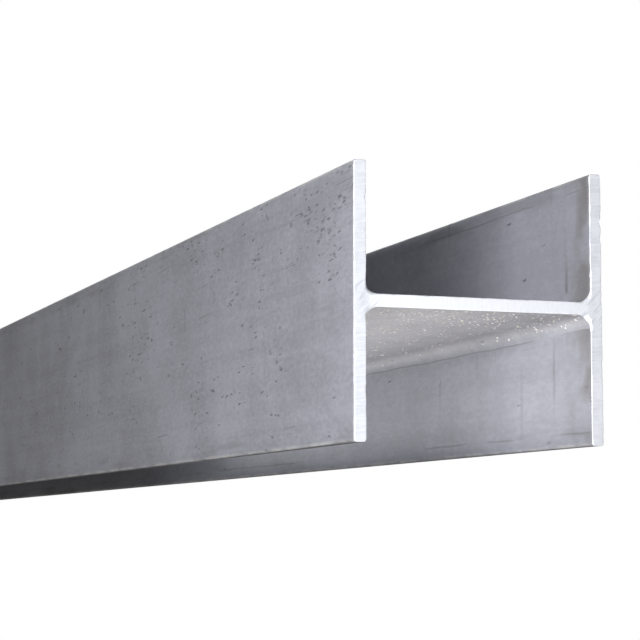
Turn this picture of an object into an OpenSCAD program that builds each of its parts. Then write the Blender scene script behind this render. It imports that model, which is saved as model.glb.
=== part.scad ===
// Hot-rolled H-section steel beam, galvanized, cut square to a stock length.
// It lies on the toes of its two flanges, with the web level between them.
// Length runs along X, section depth along Y and flange width along Z.
// The origin is on the floor, under the middle of the beam.

/* [Section] */
// Depth of the section, over the outer faces of the two flanges
section_depth = 200.2; // [150:0.1:320]
// Width of each flange, from toe to toe
flange_width = 205.9; // [120:0.1:320]
// Thickness of each flange
flange_thickness = 9.5; // [5:0.1:20]
// Thickness of the web
web_thickness = 9.5; // [4:0.1:20]

/* [Rolled edges] */
// Radius of the root fillet between the web and a flange
root_radius = 10.2; // [3:0.1:27]
// Radius on the corners of each flange toe
toe_radius = 2; // [0.5:0.1:4.5]

/* [Stock] */
// Length that the beam is cut to
beam_length = 6000; // [500:50:12000]

/* [Hidden] */
$fn = 96;

// From the middle of the section to the inner face of either flange
inner_face = section_depth / 2 - flange_thickness;
// Height of the underside of the web, which is midway up the flanges
web_underside = (flange_width - web_thickness) / 2;
// Toe corners stay within the flange that carries them
toe_corner = min(toe_radius, 0.49 * flange_thickness);
// The web and the fillets run this far into what they join, to be one with it
overlap = min(flange_thickness, web_thickness) / 3;

// A shape on the right of the section, repeated on the left
module both_sides() {
    children();
    mirror([1, 0]) children();
}

// What a square corner holds outside a quarter circle, and the overlap past its
// two sides: added to an inside corner it is a fillet, and cut from an outside
// corner it rounds that corner
module corner_piece(radius) {
    difference() {
        translate([-overlap, -overlap]) square(radius + overlap);
        translate([radius, radius]) circle(radius);
    }
}

// One flange on edge, from its inner face outward and from its toe up, with the
// four toe corners rounded
module flange_outline() {
    difference() {
        square([flange_thickness, flange_width]);
        for (outer = [0, 1], top = [0, 1])
            translate([outer * flange_thickness, top * flange_width])
                mirror([outer, 0])
                    mirror([0, top])
                        corner_piece(toe_corner);
    }
}

// The web from its underside up, with its ends let into the flanges
module web_outline() {
    translate([-inner_face - overlap, 0])
        square([2 * (inner_face + overlap), web_thickness]);
}

// The two root fillets that join the web to one flange, above and below it
module root_fillets() {
    for (top = [0, 1])
        translate([inner_face, top * web_thickness])
            mirror([1, 0])
                mirror([0, 1 - top])
                    corner_piece(root_radius);
}

// The whole rolled section, standing on its toes
module section_outline() {
    both_sides() translate([inner_face, 0]) flange_outline();
    translate([0, web_underside]) {
        web_outline();
        both_sides() root_fillets();
    }
}

// The beam: one rolled piece, the section carried along its length
module h_beam() {
    color("#9a9ba0")
        rotate([90, 0, 90])
            linear_extrude(height = beam_length, center = true)
                section_outline();
}

h_beam();
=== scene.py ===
import bmesh
import bpy
import numpy as np
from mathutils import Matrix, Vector


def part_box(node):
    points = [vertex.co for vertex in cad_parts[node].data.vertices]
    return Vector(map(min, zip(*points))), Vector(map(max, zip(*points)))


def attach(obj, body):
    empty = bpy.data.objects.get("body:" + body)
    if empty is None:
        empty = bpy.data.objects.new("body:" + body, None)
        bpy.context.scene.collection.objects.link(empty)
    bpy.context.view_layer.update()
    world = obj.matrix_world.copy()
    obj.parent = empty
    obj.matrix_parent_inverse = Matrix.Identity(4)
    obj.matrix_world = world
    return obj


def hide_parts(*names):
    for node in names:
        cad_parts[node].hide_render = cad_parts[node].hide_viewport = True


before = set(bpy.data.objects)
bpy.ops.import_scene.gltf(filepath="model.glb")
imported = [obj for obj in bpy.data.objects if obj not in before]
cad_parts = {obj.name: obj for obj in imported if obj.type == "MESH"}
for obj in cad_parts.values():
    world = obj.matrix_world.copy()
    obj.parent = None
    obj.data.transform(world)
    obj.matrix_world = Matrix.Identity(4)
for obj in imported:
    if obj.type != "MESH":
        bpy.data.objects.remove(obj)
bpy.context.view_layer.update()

# The beam: one length of hot-rolled H-section steel with a dull grey zinc skin.
# It is rolled whole, so its two flanges, web and root fillets are one surface. Both
# ends are cut square across, which bares bright metal, and the rim of each cut is dressed.
beam_low, beam_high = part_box("h_beam")
BEAM_LENGTH = beam_high.x - beam_low.x
SECTION_DEPTH = beam_high.y - beam_low.y
FLANGE_WIDTH = beam_high.z - beam_low.z
HALF_LENGTH = BEAM_LENGTH / 2
WEB_HEIGHT = FLANGE_WIDTH / 2
PLATE = 0.0095
ROOT_RADIUS = 0.0102
TOE_RADIUS = 0.002


def quarter_outline():
    """A quarter of the H outline, from the middle of a flange's outer face to the middle of the web's face.

    Rows are (across, up, normal across, normal up, core across, core up). The outline goes up the outer
    face, round the toe by two quarter circles, down the inner face, round the root fillet's quarter circle
    and along the web. The core is the point midway through the plate behind each point of the outline.
    """
    outer = SECTION_DEPTH / 2
    inner = outer - PLATE
    top = FLANGE_WIDTH / 2
    flange_core = outer - PLATE / 2
    core_top = top - PLATE / 2
    junction = PLATE / 2 + ROOT_RADIUS
    web_start = inner - ROOT_RADIUS
    band = np.linspace(0, junction, 5)[:-1]
    rise = np.linspace(junction, top - TOE_RADIUS, 31)
    fall = rise[::-1]
    turn = np.radians(np.linspace(0, 90, 5))
    fillet = np.radians(np.linspace(0, -90, 9))[1:]
    along_web = np.linspace(web_start, 0, 29)[1:]
    fillet_core_across = np.concatenate([np.full(4, flange_core), np.linspace(flange_core, web_start, 5)[1:]])
    fillet_core_up = np.concatenate([np.linspace(junction, 0, 5)[1:], np.zeros(4)])

    def rows(*columns):
        """Columns set side by side, with a single value repeated down its column."""
        return np.stack(np.broadcast_arrays(*columns), 1)

    out_turn, in_turn = turn[1:], turn[:-1] + np.pi / 2
    return np.concatenate(
        [
            rows(outer, band, 1.0, 0.0, flange_core, band),
            rows(outer, rise, 1.0, 0.0, flange_core, np.minimum(rise, core_top)),
            rows(
                outer - TOE_RADIUS + TOE_RADIUS * np.cos(out_turn),
                top - TOE_RADIUS + TOE_RADIUS * np.sin(out_turn),
                np.cos(out_turn),
                np.sin(out_turn),
                flange_core,
                core_top,
            ),
            rows(np.array([flange_core]), top, 0.0, 1.0, flange_core, core_top),
            rows(
                inner + TOE_RADIUS + TOE_RADIUS * np.cos(in_turn),
                top - TOE_RADIUS + TOE_RADIUS * np.sin(in_turn),
                np.cos(in_turn),
                np.sin(in_turn),
                flange_core,
                core_top,
            ),
            rows(inner, fall, -1.0, 0.0, flange_core, np.minimum(fall, core_top)),
            rows(
                web_start + ROOT_RADIUS * np.cos(fillet),
                junction + ROOT_RADIUS * np.sin(fillet),
                -np.cos(fillet),
                -np.sin(fillet),
                fillet_core_across,
                fillet_core_up,
            ),
            rows(along_web, PLATE / 2, 0.0, 1.0, along_web, 0.0),
        ]
    )


def whole_outline():
    """The closed outline: the quarter, then its mirror images in turn, joined end to end."""
    flip_across = np.array([-1.0, 1, -1, 1, -1, 1])
    flip_up = np.array([1.0, -1, 1, -1, 1, -1])
    first = quarter_outline()
    second = (first * flip_across)[::-1]
    third = first * flip_across * flip_up
    fourth = (first * flip_up)[::-1]
    return np.concatenate([first[:-1], second[:-1], third[:-1], fourth[:-1]])


def stations_from_end():
    """Distances from a cut end to midspan: steps that grow by a fixed ratio to a widest one, then even."""
    first_step, growth, widest = 0.0015, 1.075, 0.1
    growing = first_step * growth ** np.arange(80)
    near = np.cumsum(growing[growing < widest])
    left = HALF_LENGTH - near[-1]
    even = near[-1] + np.linspace(0, left, int(np.ceil(left / widest)) + 1)[1:]
    return np.concatenate([near, even])


outline = whole_outline()
outline_points = len(outline)
step = np.hypot(*(np.roll(outline[:, :2], -1, axis=0) - outline[:, :2]).T)
place = np.concatenate([[0.0], np.cumsum(step)[:-1]])
girth = step.sum()
dice = np.random.default_rng(11)


def ripple(where, waves, longest, shortest):
    """A smooth random line round the outline: a sum of sine waves that close on themselves, from 0 to 1."""
    turns = dice.integers(int(girth / longest), int(girth / shortest), waves)
    phase = dice.uniform(0, 2 * np.pi, waves)
    line = np.sin(2 * np.pi * where[:, None] * turns / girth + phase).sum(1)
    return (line - line.min()) / np.ptp(line)


def nicks(where, count, depth, width):
    """Small bites out of an edge: bell curves of random place, depth and width, the deepest one counting."""
    centre = dice.uniform(0, girth, count)
    bite = dice.uniform(0.3, 1.0, count) * depth
    spread = dice.uniform(0.5, 1.0, count) * width
    gap = (where[:, None] - centre + girth / 2) % girth - girth / 2
    return (bite * np.exp(-((gap / spread) ** 2))).max(1)


# How near each point of the outline is to the middle of a root fillet: a bell curve, 1 at the middle
FILLET_MIDDLE = 0.3 * ROOT_RADIUS
GROUND_REACH = 0.006
junction_gap = np.hypot(
    np.abs(outline[:, 0]) - (SECTION_DEPTH / 2 - PLATE - FILLET_MIDDLE),
    np.abs(outline[:, 1]) - (PLATE / 2 + FILLET_MIDDLE),
)
in_root = np.exp(-((junction_gap / GROUND_REACH) ** 2))
WIDEST_RIM = 0.004
LEAST_BREAK = 0.00012
UNEVEN_BREAK = 0.0006
GROUND_ROOT = 0.0030


def dressed_rim():
    """Width of the rim round a cut: a fine uneven break, wider where roots were ground, with nicks."""
    fine = LEAST_BREAK + UNEVEN_BREAK * ripple(place, waves=70, longest=0.05, shortest=0.006) ** 2
    ground = GROUND_ROOT * in_root * (0.35 + 0.65 * ripple(place, waves=40, longest=0.1, shortest=0.008))
    bites = nicks(place, count=44, depth=0.0011, width=0.0028)
    return np.minimum(fine + ground + bites, WIDEST_RIM)


def ring(x, inset, to_core):
    """One ring of the surface: the outline moved in along its normals, then part way to the core."""
    across = outline[:, 0] - inset * outline[:, 2]
    up = outline[:, 1] - inset * outline[:, 3]
    across = across + (outline[:, 4] - across) * to_core
    up = up + (outline[:, 5] - up) * to_core
    return np.stack([np.broadcast_to(x, across.shape), across, WEB_HEIGHT + up], 1)


FLAT_BAND = 0.0006
RIM_BULGE = 0.35


def cut_end(side):
    """The rings of one cut end, from the core of the plates out to the rim and round it onto the skin."""
    x = side * HALF_LENGTH
    rim = dressed_rim()
    return [
        ring(x, rim, 1.0),
        ring(x, rim, 0.45),
        ring(x, rim + FLAT_BAND, 0.0),
        ring(x, rim, 0.0),
        ring(x - side * rim * RIM_BULGE, rim * RIM_BULGE, 0.0),
        ring(x - side * rim, 0.0, 0.0),
    ]


from_end = stations_from_end() + WIDEST_RIM
from_end = from_end[from_end < HALF_LENGTH]
skin_x = np.concatenate([from_end - HALF_LENGTH, [0.0], (HALF_LENGTH - from_end)[::-1]])


MILL_WAVE = 0.00004
WAVE_FADE = 0.2


def skin():
    """The rolled skin: the outline carried along the length, let in along its normals by a mill wave.

    The wave is two sines of the place along and round the beam, raised so that it never stands proud.
    It fades out evenly towards the cuts.
    """
    wave = MILL_WAVE * (
        2
        + np.sin(skin_x[:, None] * 9.1 + place * 23.0)
        + np.sin(skin_x[:, None] * 4.3 - place * 41.0 + 1.3)
    )
    fade = np.minimum((HALF_LENGTH - np.abs(skin_x))[:, None] / WAVE_FADE, 1.0)
    let_in = wave * fade
    across = outline[:, 0] - let_in * outline[:, 2]
    up = outline[:, 1] - let_in * outline[:, 3]
    return np.stack([np.broadcast_to(skin_x[:, None], across.shape), across, WEB_HEIGHT + up], -1)


CUT_SHARE = 0.03
SKIN_PACE = 0.6


def near_share():
    """Share of the flat layout's height up to each ring from a cut end to midspan.

    A cut takes a fixed share between its rings, and the skin takes the rest as a power of its distance.
    """
    of_cut = np.linspace(0, CUT_SHARE, cap_rings)
    of_skin = CUT_SHARE + (0.5 - CUT_SHARE) * (from_end / HALF_LENGTH) ** SKIN_PACE
    return np.concatenate([of_cut, of_skin])


# The rings from end to end, joined into faces: the cuts are bare metal and the rest is skin
far_end = np.stack(cut_end(-1.0))
near_end = np.stack(cut_end(1.0))[::-1]
surface = np.concatenate([far_end, skin(), near_end])
rings = len(surface)
cap_rings = len(far_end)
corner = np.arange(rings * outline_points).reshape(rings, outline_points)
beside = np.roll(corner, -1, axis=1)
quads = np.stack([corner[:-1], beside[:-1], beside[1:], corner[1:]], -1).reshape(-1, 4)
beam_mesh = bpy.data.meshes.new("rolled_beam")
beam_mesh.from_pydata(surface.reshape(-1, 3), [], quads)
face_ring = np.repeat(np.arange(rings - 1), outline_points)
on_cut = (face_ring < cap_rings - 1) | (face_ring >= rings - cap_rings)
beam_mesh.polygons.foreach_set("material_index", on_cut.astype(np.int32))
beam_mesh.polygons.foreach_set("use_smooth", np.ones(len(quads), dtype=bool))

# A flat layout for the baked finish: round the outline across, and from end to end upwards
ring_share = np.concatenate([near_share(), [0.5], 1.0 - near_share()[::-1]])
lengthwise = np.broadcast_to(ring_share[:, None], (rings, outline_points))
u_here = np.broadcast_to(place / girth, (rings - 1, outline_points))
u_next = np.broadcast_to(np.append(place[1:], girth) / girth, (rings - 1, outline_points))
v_here, v_next = lengthwise[:-1], lengthwise[1:]
flat = np.stack([u_here, v_here, u_next, v_here, u_next, v_next, u_here, v_next], -1)
beam_mesh.uv_layers.new(name="OFBake").uv.foreach_set("vector", flat.astype(np.float32).ravel())

# The two sides of each cut meet along the core of its plates, and are joined there
closing = bmesh.new()
closing.from_mesh(beam_mesh)
bmesh.ops.remove_doubles(closing, verts=closing.verts, dist=1e-6)
bmesh.ops.dissolve_degenerate(closing, edges=closing.edges, dist=1e-7)
closing.to_mesh(beam_mesh)
closing.free()
beam = bpy.data.objects.new("rolled_beam", beam_mesh)
bpy.context.collection.objects.link(beam)


class Finish:
    """A node material whose patterns are laid over the beam's own place in metres."""

    def __init__(self, name):
        self.material = bpy.data.materials.new(name)
        self.material.use_nodes = True
        self.tree = self.material.node_tree
        self.shader = self.tree.nodes["Principled BSDF"]
        self.where = self.node("ShaderNodeTexCoord").outputs["Object"]
        axes = self.node("ShaderNodeSeparateXYZ")
        self.put(axes.inputs["Vector"], self.where)
        self.along, self.across, self.up = axes.outputs

    def node(self, kind, **settings):
        """A new node of a kind, with its settings."""
        made = self.tree.nodes.new(kind)
        for name, value in settings.items():
            setattr(made, name, value)
        return made

    def put(self, socket, value):
        """Links a socket to another's output, or sets it to a plain value."""
        if isinstance(value, bpy.types.NodeSocket):
            self.tree.links.new(value, socket)
        else:
            socket.default_value = value

    def lay(self, stretch, turn, offset):
        """The place moved, turned by degrees and then scaled to so many repeats a metre along each axis."""
        laid = self.node("ShaderNodeMapping", vector_type="TEXTURE")
        self.put(laid.inputs["Vector"], self.where)
        laid.inputs["Location"].default_value = offset
        laid.inputs["Rotation"].default_value = np.radians(turn)
        laid.inputs["Scale"].default_value = 1.0 / np.array(stretch)
        return laid.outputs["Vector"]

    def noise(self, vector, detail, rough, warp):
        """A node of soft noise, one grain to a unit of the place that it is given."""
        made = self.node("ShaderNodeTexNoise")
        self.put(made.inputs["Vector"], vector)
        made.inputs["Scale"].default_value = 1.0
        made.inputs["Detail"].default_value = detail
        made.inputs["Roughness"].default_value = rough
        made.inputs["Distortion"].default_value = warp
        return made

    def grain(self, stretch, detail=2.0, turn=(0, 0, 0), offset=(0, 0, 0), rough=0.55, warp=0.0):
        """Soft noise from 0 to 1, with so many grains a metre along the length, across the section and up."""
        return self.noise(self.lay(stretch, turn, offset), detail, rough, warp).outputs["Fac"]

    def patch(self, stretch, low, high, offset=(0, 0, 0)):
        """Scattered soft-edged patches, 1 inside and 0 outside: noise cut off between two levels."""
        return self.ramp(self.grain(stretch, offset=offset), low, high)

    def marks(self, stretch, share, size, turn=(0, 0, 0), offset=(0, 0, 0), ragged=0.0, core=0.5):
        """Separate small marks, 1 inside and 0 outside.

        Each is what lies near the seed of a stretched Voronoi cell, on a place shaken by fine noise. Only a
        share of the cells has one, of its own strength, with a reach of up to a given size in cells. It is
        full over its core, which is a share of the reach, and fades out from there.
        """
        vector = self.lay(stretch, turn, offset)
        if ragged:
            shaken = self.node("ShaderNodeVectorMath", operation="MULTIPLY_ADD")
            self.put(shaken.inputs[0], self.noise(vector, 2.0, 0.6, 0.0).outputs["Color"])
            shaken.inputs[1].default_value = (ragged, ragged, ragged)
            self.put(shaken.inputs[2], vector)
            vector = shaken.outputs["Vector"]
        cells = self.node("ShaderNodeTexVoronoi")
        self.put(cells.inputs["Vector"], vector)
        cells.inputs["Scale"].default_value = 1.0
        lot = self.node("ShaderNodeSeparateColor")
        self.put(lot.inputs["Color"], cells.outputs["Color"])
        chosen = self.work("LESS_THAN", lot.outputs["Red"], share)
        reach = self.ramp(lot.outputs["Green"], 0.0, 1.0, size * 0.4, size)
        nearness = self.work("DIVIDE", cells.outputs["Distance"], reach)
        strength = self.ramp(lot.outputs["Blue"], 0.0, 1.0, 0.2, 1.0)
        return self.times(chosen, strength, self.ramp(nearness, 1.0, core))

    def ramp(self, value, low, high, floor=0.0, ceiling=1.0):
        """Value from low to high, spread smoothly over floor to ceiling and held there beyond."""
        spread = self.node("ShaderNodeMapRange", interpolation_type="SMOOTHSTEP")
        self.put(spread.inputs["Value"], value)
        spread.inputs["From Min"].default_value = low
        spread.inputs["From Max"].default_value = high
        spread.inputs["To Min"].default_value = floor
        spread.inputs["To Max"].default_value = ceiling
        return spread.outputs["Result"]

    def work(self, operation, first, second=0.0, third=0.0):
        """One arithmetic step on two or three values."""
        made = self.node("ShaderNodeMath", operation=operation)
        for socket, value in zip(made.inputs, (first, second, third)):
            self.put(socket, value)
        return made.outputs["Value"]

    def times(self, *values):
        """Values multiplied together."""
        product = values[0]
        for value in values[1:]:
            product = self.work("MULTIPLY", product, value)
        return product

    def coat(self, under, over, share):
        """One colour laid over another by a share from 0 to 1."""
        mix = self.node("ShaderNodeMix", data_type="RGBA")
        self.put(mix.inputs["Factor"], share)
        self.put(mix.inputs[6], under if isinstance(under, bpy.types.NodeSocket) else (*under, 1))
        self.put(mix.inputs[7], over if isinstance(over, bpy.types.NodeSocket) else (*over, 1))
        return mix.outputs[2]

    def relief(self, height, distance, normal=None):
        """A surface relief of so many metres from a height of 0 to 1, on top of another if one is given."""
        bump = self.node("ShaderNodeBump")
        bump.inputs["Distance"].default_value = distance
        self.put(bump.inputs["Height"], height)
        if normal is not None:
            self.put(bump.inputs["Normal"], normal)
        return bump.outputs["Normal"]


# The zinc skin: a dull, cloudy grey coat that the steel took in a bath of molten zinc. Its streaks
# run with the rolling, and handling left flecks, scratches, runs, dust and a little rust on it.
zinc = Finish("zinc_skin")
to_cut = zinc.work("SUBTRACT", HALF_LENGTH, zinc.work("ABSOLUTE", zinc.along))
from_middle = zinc.work("ABSOLUTE", zinc.across)
to_toe = zinc.work("MINIMUM", zinc.up, zinc.work("SUBTRACT", FLANGE_WIDTH, zinc.up))
on_outer = zinc.ramp(from_middle, 0.094, 0.099)
on_inner = zinc.work("SUBTRACT", 1.0, on_outer)
near_cut = zinc.ramp(to_cut, 0.9, 0.1)

# Its tone: broad clouds, a finer bloom, streaks along the length and a fine mottle, evened inside
DULL_ZINC = (0.242, 0.242, 0.260)
PALE_ZINC = (0.352, 0.353, 0.384)
EVEN_ZINC = (0.292, 0.296, 0.324)
cloud = zinc.grain((5, 6, 6), detail=5)
bloom = zinc.grain((20, 26, 24), detail=4, rough=0.6, warp=0.8, offset=(0.3, 0.2, 0.1))
rolled = zinc.grain((1.4, 75, 75), detail=4, rough=0.65)
mottle = zinc.grain((120, 260, 260), detail=3, rough=0.7)
tone = zinc.work("MULTIPLY_ADD", cloud, 0.38, zinc.times(bloom, 0.16))
tone = zinc.work("MULTIPLY_ADD", rolled, 0.18, tone)
tone = zinc.work("MULTIPLY_ADD", mottle, 0.28, tone)
colour = zinc.coat(DULL_ZINC, PALE_ZINC, zinc.ramp(tone, 0.38, 0.62))
colour = zinc.coat(colour, EVEN_ZINC, zinc.times(on_inner, 0.45))

# Under the web, paler: partly dust and partly painted light from below, thinner on the root fillets, with a
# wandering edge and a line of painted shade along it
PALE_DUST_AND_PAINTED_LIGHT = (0.43, 0.421, 0.436)
PAINTED_ROOT_SHADE = (0.15, 0.147, 0.15)
level_of_web = zinc.work("ABSOLUTE", zinc.work("SUBTRACT", zinc.up, WEB_HEIGHT))
root_end = PLATE / 2 + ROOT_RADIUS
pale_edge_wander = zinc.work("MULTIPLY_ADD", zinc.grain((9, 2, 2), detail=4, rough=0.7), 0.006, -0.003)
pale_edge = zinc.work("ADD", level_of_web, pale_edge_wander)
by_root = zinc.ramp(pale_edge, root_end + 0.0004, root_end - 0.0004)
dust_and_painted_light = zinc.times(by_root, on_inner, zinc.ramp(zinc.up, WEB_HEIGHT, WEB_HEIGHT - 0.001))
dust_and_light_share = zinc.ramp(bloom, 0.3, 0.7, 0.3, 0.55)
dust_and_light_share = zinc.times(dust_and_light_share, zinc.ramp(level_of_web, PLATE / 2, root_end, 1.0, 0.4))
# Dust and painted light from below together, laid over the web's underside
colour = zinc.coat(colour, PALE_DUST_AND_PAINTED_LIGHT, zinc.times(dust_and_painted_light, dust_and_light_share))
# Painted shade: a dark line in the crease along the root
painted_root_shade = zinc.work("ABSOLUTE", zinc.work("SUBTRACT", pale_edge, root_end + 0.0006))
painted_root_shade = zinc.times(zinc.ramp(painted_root_shade, 0.0008, 0.0003), on_inner, zinc.patch((14, 3, 3), 0.36, 0.56))
colour = zinc.coat(colour, PAINTED_ROOT_SHADE, zinc.times(painted_root_shade, 0.5))

# Faint upright smudges, in patches
SMUDGE = (0.17, 0.168, 0.172)
smudge = zinc.ramp(zinc.grain((15, 26, 2.0), detail=3, warp=1.2), 0.52, 0.74)
smudge = zinc.times(smudge, zinc.patch((3, 5, 5), 0.46, 0.62), 0.2)
colour = zinc.coat(colour, SMUDGE, smudge)

# Clusters of dark flecks and larger chips on the outer faces, most of them near the cuts and high up
FLECK = (0.085, 0.083, 0.085)
cluster = zinc.patch((9, 17, 17), 0.46, 0.62, offset=(0.37, 0.1, 0.64))
cluster = zinc.times(cluster, zinc.work("MULTIPLY_ADD", near_cut, 0.7, 0.3), on_outer)
cluster = zinc.times(cluster, zinc.ramp(zinc.up, 0.05, 0.12, 0.4, 1.0))
fleck_share = zinc.work("MULTIPLY_ADD", cluster, 0.6, 0.02)
fleck = zinc.marks((84, 400, 400), fleck_share, 0.48, turn=(0, -6, 0), ragged=1.3)
chip_share = zinc.times(cluster, 0.4)
chip = zinc.marks((62, 150, 150), chip_share, 0.35, turn=(0, 14, 0), offset=(3, 1, 2), ragged=1.8)
fleck = zinc.work("MAXIMUM", fleck, chip)
colour = zinc.coat(colour, FLECK, zinc.times(fleck, 0.7))

# Dark scratches along the length, faint inside, and light scuffs on the outer faces
SCRATCH = (0.12, 0.118, 0.12)
SCUFF = (0.48, 0.48, 0.49)
scratch_share = zinc.work("MULTIPLY_ADD", zinc.patch((4, 9, 9), 0.44, 0.58), 0.42, 0.04)
scratch = zinc.marks((8, 560, 560), scratch_share, 0.32, turn=(0, -2, 0), ragged=0.25)
colour = zinc.coat(colour, SCRATCH, zinc.times(scratch, zinc.ramp(on_outer, 0, 1, 0.08, 0.6)))
scuff_share = zinc.work("MULTIPLY_ADD", zinc.patch((5, 11, 11), 0.48, 0.6, (0.1, 0.8, 0.3)), 0.2, 0.015)
scuff = zinc.marks((14, 440, 440), scuff_share, 0.28, turn=(0, 9, 0), offset=(2, 1, 4), ragged=0.15)
colour = zinc.coat(colour, SCUFF, zinc.times(scuff, on_outer, 0.35))

# Dark runs down the flanges, clear of the roots and stronger inside
RUN = (0.12, 0.118, 0.12)
off_root = zinc.ramp(level_of_web, root_end, root_end + 0.003)
run_share = zinc.work("MULTIPLY_ADD", zinc.patch((11, 7, 5), 0.40, 0.54, (0.9, 0.5, 0.1)), 0.7, 0.05)
run = zinc.marks((68, 40, 6), run_share, 0.34, turn=(0, 1, 0), offset=(1, 4, 2), ragged=0.12, core=0.0)
colour = zinc.coat(colour, RUN, zinc.times(run, zinc.ramp(on_inner, 0, 1, 0.3, 0.65), off_root))

# Light specks, and spots of rust that are thicker on the web's underside and inside by the cuts
SPECK = (0.62, 0.60, 0.56)
RUST = (0.24, 0.155, 0.095)
speck = zinc.marks((260, 260, 260), zinc.work("MULTIPLY_ADD", dust_and_painted_light, 0.03, 0.008), 0.22)
colour = zinc.coat(colour, SPECK, zinc.times(speck, 0.8))
rust_patch = zinc.patch((14, 20, 20), 0.5, 0.62, (0.6, 0.3, 0.9))
rust_patch = zinc.times(rust_patch, zinc.ramp(to_cut, 0.5, 0.05), on_inner)
rust_share = zinc.work("MULTIPLY_ADD", rust_patch, 0.06, zinc.work("MULTIPLY_ADD", dust_and_painted_light, 0.08, 0.012))
rust = zinc.marks((110, 110, 110), rust_share, 0.2, ragged=0.6)
colour = zinc.coat(colour, RUST, zinc.times(rust, 0.6))

# Toes rubbed pale, grime behind them, and a broken seam from the mill along the inner faces
WORN_TOE = (0.50, 0.485, 0.455)
TOE_GRIME = (0.15, 0.147, 0.143)
SEAM = (0.14, 0.137, 0.134)
SEAM_TO_TOE = 0.0135
toe_wear = zinc.times(zinc.ramp(to_toe, 0.0034, 0.0008), zinc.patch((30, 90, 90), 0.36, 0.6))
colour = zinc.coat(colour, WORN_TOE, zinc.times(toe_wear, 0.6))
toe_grime = zinc.times(zinc.ramp(to_toe, 0.024, 0.006), zinc.patch((9, 60, 60), 0.5, 0.66, (0.7, 0, 0)))
colour = zinc.coat(colour, TOE_GRIME, zinc.times(toe_grime, 0.35))
seam_wander = zinc.work("MULTIPLY_ADD", zinc.grain((6, 1, 1)), 0.006, to_toe)
seam = zinc.ramp(zinc.work("ABSOLUTE", zinc.work("SUBTRACT", seam_wander, SEAM_TO_TOE)), 0.0010, 0.0004)
seam = zinc.times(seam, on_inner, zinc.patch((9, 3, 3), 0.44, 0.56, (0.2, 0, 0)))
colour = zinc.coat(colour, SEAM, zinc.times(seam, 0.45))

# Dirt inside the flanges by the cuts, thickest in the corners and thin under the web
END_DIRT = (0.135, 0.122, 0.108)
in_corner = zinc.ramp(level_of_web, root_end + 0.045, root_end)
in_corner = zinc.times(in_corner, zinc.patch((30, 24, 26), 0.3, 0.52))
end_dirt = zinc.work("MAXIMUM", in_corner, zinc.patch((26, 24, 20), 0.42, 0.6))
end_dirt = zinc.times(end_dirt, zinc.ramp(to_cut, 0.05, 0.004), on_inner)
end_dirt = zinc.times(end_dirt, zinc.ramp(dust_and_painted_light, 0.0, 1.0, 1.0, 0.25))
colour = zinc.coat(colour, END_DIRT, zinc.times(end_dirt, 0.62))

# Its sheen, and its relief: a fine grain, a slow unevenness, specks that stand up and pits that go in
GRAIN_DEPTH = 0.00006
UNEVEN_DEPTH = 0.00007
PIT_DEPTH = 0.0005
zinc.put(zinc.shader.inputs["Base Color"], colour)
zinc.put(zinc.shader.inputs["Roughness"], zinc.ramp(tone, 0.3, 0.7, 0.66, 0.5))
zinc.shader.inputs["Metallic"].default_value = 0.3
zinc.shader.inputs["Specular IOR Level"].default_value = 0.35
pitted = zinc.work("MULTIPLY_ADD", scratch, 0.35, fleck)
relief = zinc.relief(zinc.grain((900, 900, 900), detail=3), GRAIN_DEPTH)
relief = zinc.relief(zinc.grain((40, 60, 60), detail=3), UNEVEN_DEPTH, relief)
relief = zinc.relief(zinc.work("SUBTRACT", speck, pitted), PIT_DEPTH, relief)
zinc.put(zinc.shader.inputs["Normal"], relief)

# The bare metal of the cuts: bright steel that a saw left, with its drag marks across each plate.
# The roots were ground by hand, which gave them slanted marks and darker smears.
SAWN_GREY = (0.55, 0.563, 0.588)
SAWN_BRIGHT = (0.692, 0.705, 0.728)
WEB_END_PAINTED_HIGHLIGHT = (0.84, 0.85, 0.87)
GROUND_SMEAR = (0.40, 0.41, 0.44)
SAWN_CHIP = (0.2, 0.2, 0.21)
DRAG_DEPTH = 0.00015
INNER_FACE = SECTION_DEPTH / 2 - PLATE
bare = Finish("cut_end")
from_middle = bare.work("ABSOLUTE", bare.across)
on_web = bare.ramp(from_middle, INNER_FACE, INNER_FACE - 0.004)
flange_marks = bare.grain((1, 50, 620), detail=3, warp=0.5, turn=(6, 0, 0))
web_marks = bare.grain((1, 620, 50), detail=3, warp=0.5, turn=(6, 0, 0))
marks = bare.work("MULTIPLY_ADD", bare.work("SUBTRACT", web_marks, flange_marks), on_web, flange_marks)

# How far a point of a cut is from the nearest corner of web and flange, with the section folded in four
fold = bare.node("ShaderNodeCombineXYZ")
bare.put(fold.inputs["Y"], from_middle)
bare.put(fold.inputs["Z"], bare.work("ABSOLUTE", bare.work("SUBTRACT", bare.up, WEB_HEIGHT)))
to_root = bare.node("ShaderNodeVectorMath", operation="DISTANCE")
bare.put(to_root.inputs[0], fold.outputs["Vector"])
to_root.inputs[1].default_value = (0, INNER_FACE, PLATE / 2)
ground = bare.ramp(to_root.outputs["Value"], 0.016, 0.007)
strokes = bare.grain((1, 90, 650), detail=2, turn=(45, 0, 0))
marks = bare.work("MULTIPLY_ADD", bare.work("SUBTRACT", strokes, marks), ground, marks)

# The tone follows the marks and a soft blotch, with a painted highlight on the web's end and the smears and
# chips over it
blotch = bare.grain((55, 55, 55), detail=4)
shade = bare.work("MULTIPLY_ADD", marks, 0.4, bare.times(blotch, 0.6))
colour = bare.coat(SAWN_GREY, SAWN_BRIGHT, bare.ramp(shade, 0.36, 0.62))
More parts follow.
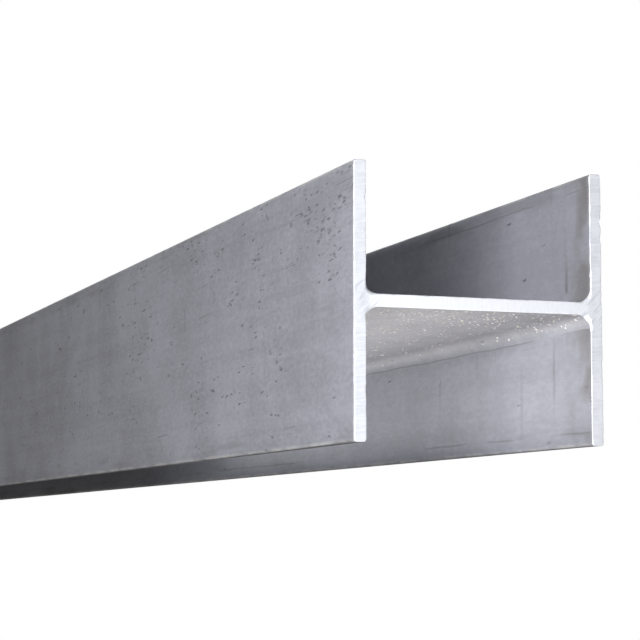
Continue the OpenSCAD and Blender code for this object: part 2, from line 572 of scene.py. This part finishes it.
# Painted highlight: the web's cut end is made lighter than the flanges' cuts
colour = bare.coat(colour, WEB_END_PAINTED_HIGHLIGHT, bare.times(on_web, 0.45))
smear = bare.times(ground, bare.ramp(bare.grain((1, 60, 420), detail=3, turn=(45, 0, 0)), 0.5, 0.68))
colour = bare.coat(colour, GROUND_SMEAR, bare.times(smear, 0.6))
chips = bare.marks((240, 240, 240), 0.05, 0.22, ragged=0.6)
colour = bare.coat(colour, SAWN_CHIP, bare.times(chips, 0.5))
bare.put(bare.shader.inputs["Base Color"], colour)
bare.put(bare.shader.inputs["Roughness"], bare.ramp(shade, 0.35, 0.65, 0.52, 0.38))
bare.shader.inputs["Metallic"].default_value = 0.4
bare.put(bare.shader.inputs["Normal"], bare.relief(marks, DRAG_DEPTH))

beam_mesh.materials.append(zinc.material)
beam_mesh.materials.append(bare.material)
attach(beam, "root")
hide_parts("h_beam")

# Beads of zinc: small blobs that froze on the skin as the bath drained off it, thickest near the
# cuts on the underside of the web and its root fillets. Each is a low dome, fused where it sits.
BEADS_PER_END = 1300
BEAD_SIDES = 6
BEAD_THINNING = 0.23
FARTHEST_BEAD = 0.9
FILLET_SHARE = 0.6
LEAST_BEAD = 0.00035
BEAD_RANGE = 0.0009
BEAD_FOOT = -0.4
bead_rise = np.radians([35.0, 70.0, 105.0])
inside = np.abs(outline[:, 0]) < SECTION_DEPTH / 2 - PLATE + 1e-6
below = outline[:, 1] < 0
by_web = inside & (np.abs(outline[:, 1]) < PLATE / 2 + FILLET_SHARE * ROOT_RADIUS)
bead_odds = step * (by_web & below)


def bead_sites(side):
    """Sites of one end's beads, and the way out of the skin there.

    A point of the outline is drawn by its odds, and a distance from the cut that thins out inward.
    """
    drawn = dice.choice(outline_points, BEADS_PER_END, p=bead_odds / bead_odds.sum())
    part = dice.random(BEADS_PER_END)[:, None]
    row = outline[drawn] * (1 - part) + outline[(drawn + 1) % outline_points] * part
    back = np.minimum(dice.exponential(BEAD_THINNING, BEADS_PER_END) + WIDEST_RIM, FARTHEST_BEAD)
    site = np.stack([side * (HALF_LENGTH - back), row[:, 0], WEB_HEIGHT + row[:, 1]], 1)
    normal = np.stack([np.zeros(BEADS_PER_END), row[:, 2], row[:, 3]], 1)
    return site, normal / np.linalg.norm(normal, axis=1, keepdims=True)


sites, normals = (np.concatenate(pair) for pair in zip(bead_sites(-1.0), bead_sites(1.0)))
lengthways = np.broadcast_to([1.0, 0.0, 0.0], sites.shape)
sideways = np.cross(normals, lengthways)
bead_width = LEAST_BEAD + BEAD_RANGE * dice.random(len(sites)) ** 2
bead_height = bead_width * dice.uniform(0.25, 0.5, len(sites))
bead_length = bead_width * dice.uniform(0.7, 1.6, len(sites))


def bead_shells():
    """Closed domes: rings at set angles from the crown, ellipses of each one's size, and two poles."""
    around = np.linspace(0, 2 * np.pi, BEAD_SIDES, endpoint=False)
    out = np.sin(bead_rise)[:, None] * np.cos(around)
    over = np.sin(bead_rise)[:, None] * np.sin(around)
    up = np.broadcast_to(np.cos(bead_rise)[:, None], out.shape)
    local = np.concatenate([[[0, 0, 1.0]], np.stack([out, over, up], -1).reshape(-1, 3), [[0, 0, BEAD_FOOT]]])
    reach = np.stack([bead_length, bead_width, bead_height], 1)
    axes = np.stack([lengthways, sideways, normals], 1) * reach[:, :, None]
    return sites[:, None] + local @ axes


def bead_faces(corners_each):
    """Faces of all the beads: a fan at each pole and quads between the rings, shifted bead by bead."""
    turn = np.arange(BEAD_SIDES)
    on = (turn + 1) % BEAD_SIDES
    first = 1 + BEAD_SIDES * np.arange(len(bead_rise))
    shift = np.arange(len(sites))[:, None, None] * corners_each
    crown = np.stack([np.zeros_like(turn), first[0] + turn, first[0] + on], 1)
    foot = np.stack([np.full_like(turn, corners_each - 1), first[-1] + on, first[-1] + turn], 1)
    upper, lower = first[:-1, None], first[1:, None]
    walls = np.stack([upper + turn, lower + turn, lower + on, upper + on], -1).reshape(-1, 4)
    fans = (np.concatenate([crown, foot]) + shift).reshape(-1, 3)
    return fans.tolist() + (walls + shift).reshape(-1, 4).tolist()


DISC_REACH = 0.42
FOOT_ANGLE = np.radians(140)


def bead_layout():
    """A flat layout of the beads: each is a disc in a square of its own, out from the crown by angle."""
    squares_a_side = int(np.ceil(np.sqrt(len(sites))))
    square = np.arange(len(sites))
    middle = np.stack([square % squares_a_side, square // squares_a_side], 1) + 0.5
    reach = DISC_REACH * np.concatenate([[0.0], bead_rise / FOOT_ANGLE, [1.0]])
    turn = np.arange(BEAD_SIDES)

    def spot(ring, turns):
        """Where a corner falls in its square: so far out for its ring, at its turn round the bead."""
        angle = 2 * np.pi * turns / BEAD_SIDES
        return reach[ring] * np.stack([np.cos(angle), np.sin(angle)], -1)

    def wall(ring):
        """The quads between a ring and the next one out."""
        near_side = spot(ring, turn), spot(ring + 1, turn)
        far_side = spot(ring + 1, turn + 1), spot(ring, turn + 1)
        return np.stack([*near_side, *far_side], 1)

    crown = np.stack([spot(0, turn), spot(1, turn), spot(1, turn + 1)], 1)
    foot = np.stack([spot(-1, turn + 0.5), spot(-2, turn + 1), spot(-2, turn)], 1)
    fans = np.concatenate([crown, foot]).reshape(-1, 2)
    walls = np.concatenate([wall(ring) for ring in range(1, len(bead_rise))]).reshape(-1, 2)
    discs = [(middle[:, None] + corners).reshape(-1, 2) for corners in (fans, walls)]
    return np.concatenate(discs) / squares_a_side


bead_points = bead_shells()
bead_mesh = bpy.data.meshes.new("zinc_beads")
bead_mesh.from_pydata(bead_points.reshape(-1, 3), [], bead_faces(bead_points.shape[1]))
bead_mesh.polygons.foreach_set("use_smooth", np.ones(len(bead_mesh.polygons), dtype=bool))
bead_mesh.uv_layers.new(name="OFBake").uv.foreach_set("vector", bead_layout().astype(np.float32).ravel())
beads = bpy.data.objects.new("zinc_beads", bead_mesh)
bpy.context.collection.objects.link(beads)
BEAD_DULL = (0.50, 0.46, 0.40)
BEAD_PALE = (0.86, 0.83, 0.77)
frozen = Finish("frozen_zinc")
bead_tone = frozen.ramp(frozen.grain((150, 150, 150)), 0.35, 0.65)
frozen.put(frozen.shader.inputs["Base Color"], frozen.coat(BEAD_DULL, BEAD_PALE, bead_tone))
frozen.shader.inputs["Roughness"].default_value = 0.45
frozen.shader.inputs["Metallic"].default_value = 0.2
bead_mesh.materials.append(frozen.material)
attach(beads, "root")

# The floor: a wide, plain, pale sheet that the toes of the flanges stand on. It is a matt light
# table, with a low glow of its own that reaches up under the web. It has no underside, so that an
# eye below its level, such as the camera's here, looks through it at the beam.
FLOOR_REACH = 80.0
FLOOR_CLEARANCE = 0.0002
FLOOR_GREY = (0.7, 0.7, 0.7, 1)
FLOOR_TINT = (1.0, 0.985, 0.965, 1)
FLOOR_GLOW = 0.17
FLOOR_GLOW_SEEN = 0.54
floor_mesh = bpy.data.meshes.new("floor")
floor_corners = np.array([(-1, -1, 0), (1, -1, 0), (1, 1, 0), (-1, 1, 0)]) * FLOOR_REACH
floor_mesh.from_pydata(floor_corners - (0, 0, FLOOR_CLEARANCE), [], [(0, 1, 2, 3)])
floor = bpy.data.objects.new("floor", floor_mesh)
bpy.context.collection.objects.link(floor)
pale = bpy.data.materials.new("pale_floor")
pale.use_nodes = True
pale_nodes, pale_links = pale.node_tree.nodes, pale.node_tree.links
pale_shader = pale_nodes["Principled BSDF"]
pale_shader.inputs["Base Color"].default_value = FLOOR_GREY
pale_shader.inputs["Roughness"].default_value = 0.9
pale_shader.inputs["Specular IOR Level"].default_value = 0.1
pale_shader.inputs["Emission Color"].default_value = FLOOR_TINT
glow = pale_nodes.new("ShaderNodeMapRange")
glow.inputs["To Min"].default_value = FLOOR_GLOW
glow.inputs["To Max"].default_value = FLOOR_GLOW_SEEN
pale_links.new(pale_nodes.new("ShaderNodeLightPath").outputs["Is Camera Ray"], glow.inputs["Value"])
pale_links.new(glow.outputs["Result"], pale_shader.inputs["Emission Strength"])
one_sided = pale_nodes.new("ShaderNodeMixShader")
pale_links.new(pale_nodes.new("ShaderNodeNewGeometry").outputs["Backfacing"], one_sided.inputs["Fac"])
pale_links.new(pale_shader.outputs["BSDF"], one_sided.inputs[1])
pale_links.new(pale_nodes.new("ShaderNodeBsdfTransparent").outputs["BSDF"], one_sided.inputs[2])
pale_links.new(one_sided.outputs["Shader"], pale_nodes["Material Output"].inputs["Surface"])
floor_mesh.materials.append(pale)

# The studio light: soft boxes before both ends, along the sides and over the beam that light the
# steel alone, and a wide ceiling that lights the floor alone, so that it stays evenly pale.
# The world is white to the eye and only a faint fill to the surfaces.
WORLD_FILL = 0.07
WORLD_SEEN = 1.0
COOL = (0.945, 0.957, 1.0)
WARM = (1.0, 0.985, 0.965)
SHADE_BLUE = (0.88, 0.93, 1.0)
SKY_BLUE = (0.84, 0.92, 1.0)
SOFT = np.pi
AIMED = np.radians(60)
NARROW = np.radians(30)
world = bpy.data.worlds.new("studio")
world.use_nodes = True
bpy.context.scene.world = world
sky = world.node_tree.nodes["Background"]
sky.inputs["Color"].default_value = (1, 1, 1, 1)
seen = world.node_tree.nodes.new("ShaderNodeLightPath")
level = world.node_tree.nodes.new("ShaderNodeMapRange")
level.inputs["To Min"].default_value = WORLD_FILL
level.inputs["To Max"].default_value = WORLD_SEEN
world.node_tree.links.new(seen.outputs["Is Camera Ray"], level.inputs["Value"])
world.node_tree.links.new(level.outputs["Result"], sky.inputs["Strength"])
lit_steel = bpy.data.collections.new("lit_steel")
lit_steel.objects.link(beam)
lit_steel.objects.link(beads)
lit_floor = bpy.data.collections.new("lit_floor")
lit_floor.objects.link(floor)


def softbox(name, place, aim, size, power, tint, spread, lights):
    """A rectangular lamp that stands at a place, faces an aim, lights one collection and isn't seen."""
    lamp = bpy.data.lights.new(name, "AREA")
    lamp.shape = "RECTANGLE"
    lamp.size, lamp.size_y = size
    lamp.energy = power
    lamp.color = tint
    lamp.spread = spread
    holder = bpy.data.objects.new(name, lamp)
    holder.location = place
    holder.rotation_euler = (Vector(aim) - Vector(place)).to_track_quat("-Z", "Y").to_euler()
    holder.visible_camera = False
    holder.light_linking.receiver_collection = lights
    bpy.context.collection.objects.link(holder)


# Each end has the same lamps, turned half round: name, place, aim, size, power, tint and spread
END_LAMPS = [
    ("key", (4.25, -1.2, 0.14), (2.8, 0, 0.1), (0.8, 0.24), 61, COOL, SOFT),
    ("front", (4.9, -0.8, 0.12), (2.9, 0, 0.1), (0.4, 0.2), 12.6, COOL, SOFT),
    ("under_web", (2.57, 0, 0.004), (2.57, 0, 0.1), (1.0, 0.12), 0.57, WARM, SOFT),
    ("channel", (2.3, -0.088, 0.05), (2.3, 0, 0.05), (0.9, 0.06), 0.19, SHADE_BLUE, SOFT),
    ("side", (-1.1, -1.3, 0.55), (-1.1, 0, 0.1), (3.4, 0.4), 12, COOL, AIMED),
]
for end in (1, -1):
    half_turn = np.array([end, end, 1])
    for name, stand, aim, *settings in END_LAMPS:
        softbox(f"{name}_{end}", half_turn * stand, half_turn * aim, *settings, lit_steel)
softbox("overhead", (0, 0, 3.0), (0, 0, 0), (6.0, 2.0), 42, SKY_BLUE, SOFT, lit_steel)
softbox("web_top", (-0.2, 0, 1.5), (-0.2, 0, 0), (5.8, 0.3), 4.6, COOL, NARROW, lit_steel)
softbox("ceiling", (0, 0, 8.0), (0, 0, 0), (16.0, 10.0), 270, WARM, SOFT, lit_floor)

# The camera: at the photograph's viewing angle, before the near end and a little below the level of
# the toes, so that it looks up under the web. The long lens lets one beam fill the frame.
SENSOR_WIDTH = 36
LENS = 117.7
EYE = (4.403, -0.634, -0.070)
YAW = np.radians(19.9)
PITCH = np.radians(6.0)
camera = bpy.data.objects.new("camera", bpy.data.cameras.new("camera"))
bpy.context.collection.objects.link(camera)
camera.data.sensor_width = SENSOR_WIDTH
camera.data.lens = LENS
look = Vector((-np.cos(YAW) * np.cos(PITCH), np.sin(YAW) * np.cos(PITCH), np.sin(PITCH)))
camera.location = EYE
camera.rotation_euler = look.to_track_quat("-Z", "Y").to_euler()
camera.data.clip_start = 0.01
camera.data.clip_end = 300
bpy.context.scene.camera = camera
bpy.context.scene.view_settings.view_transform = "Standard"
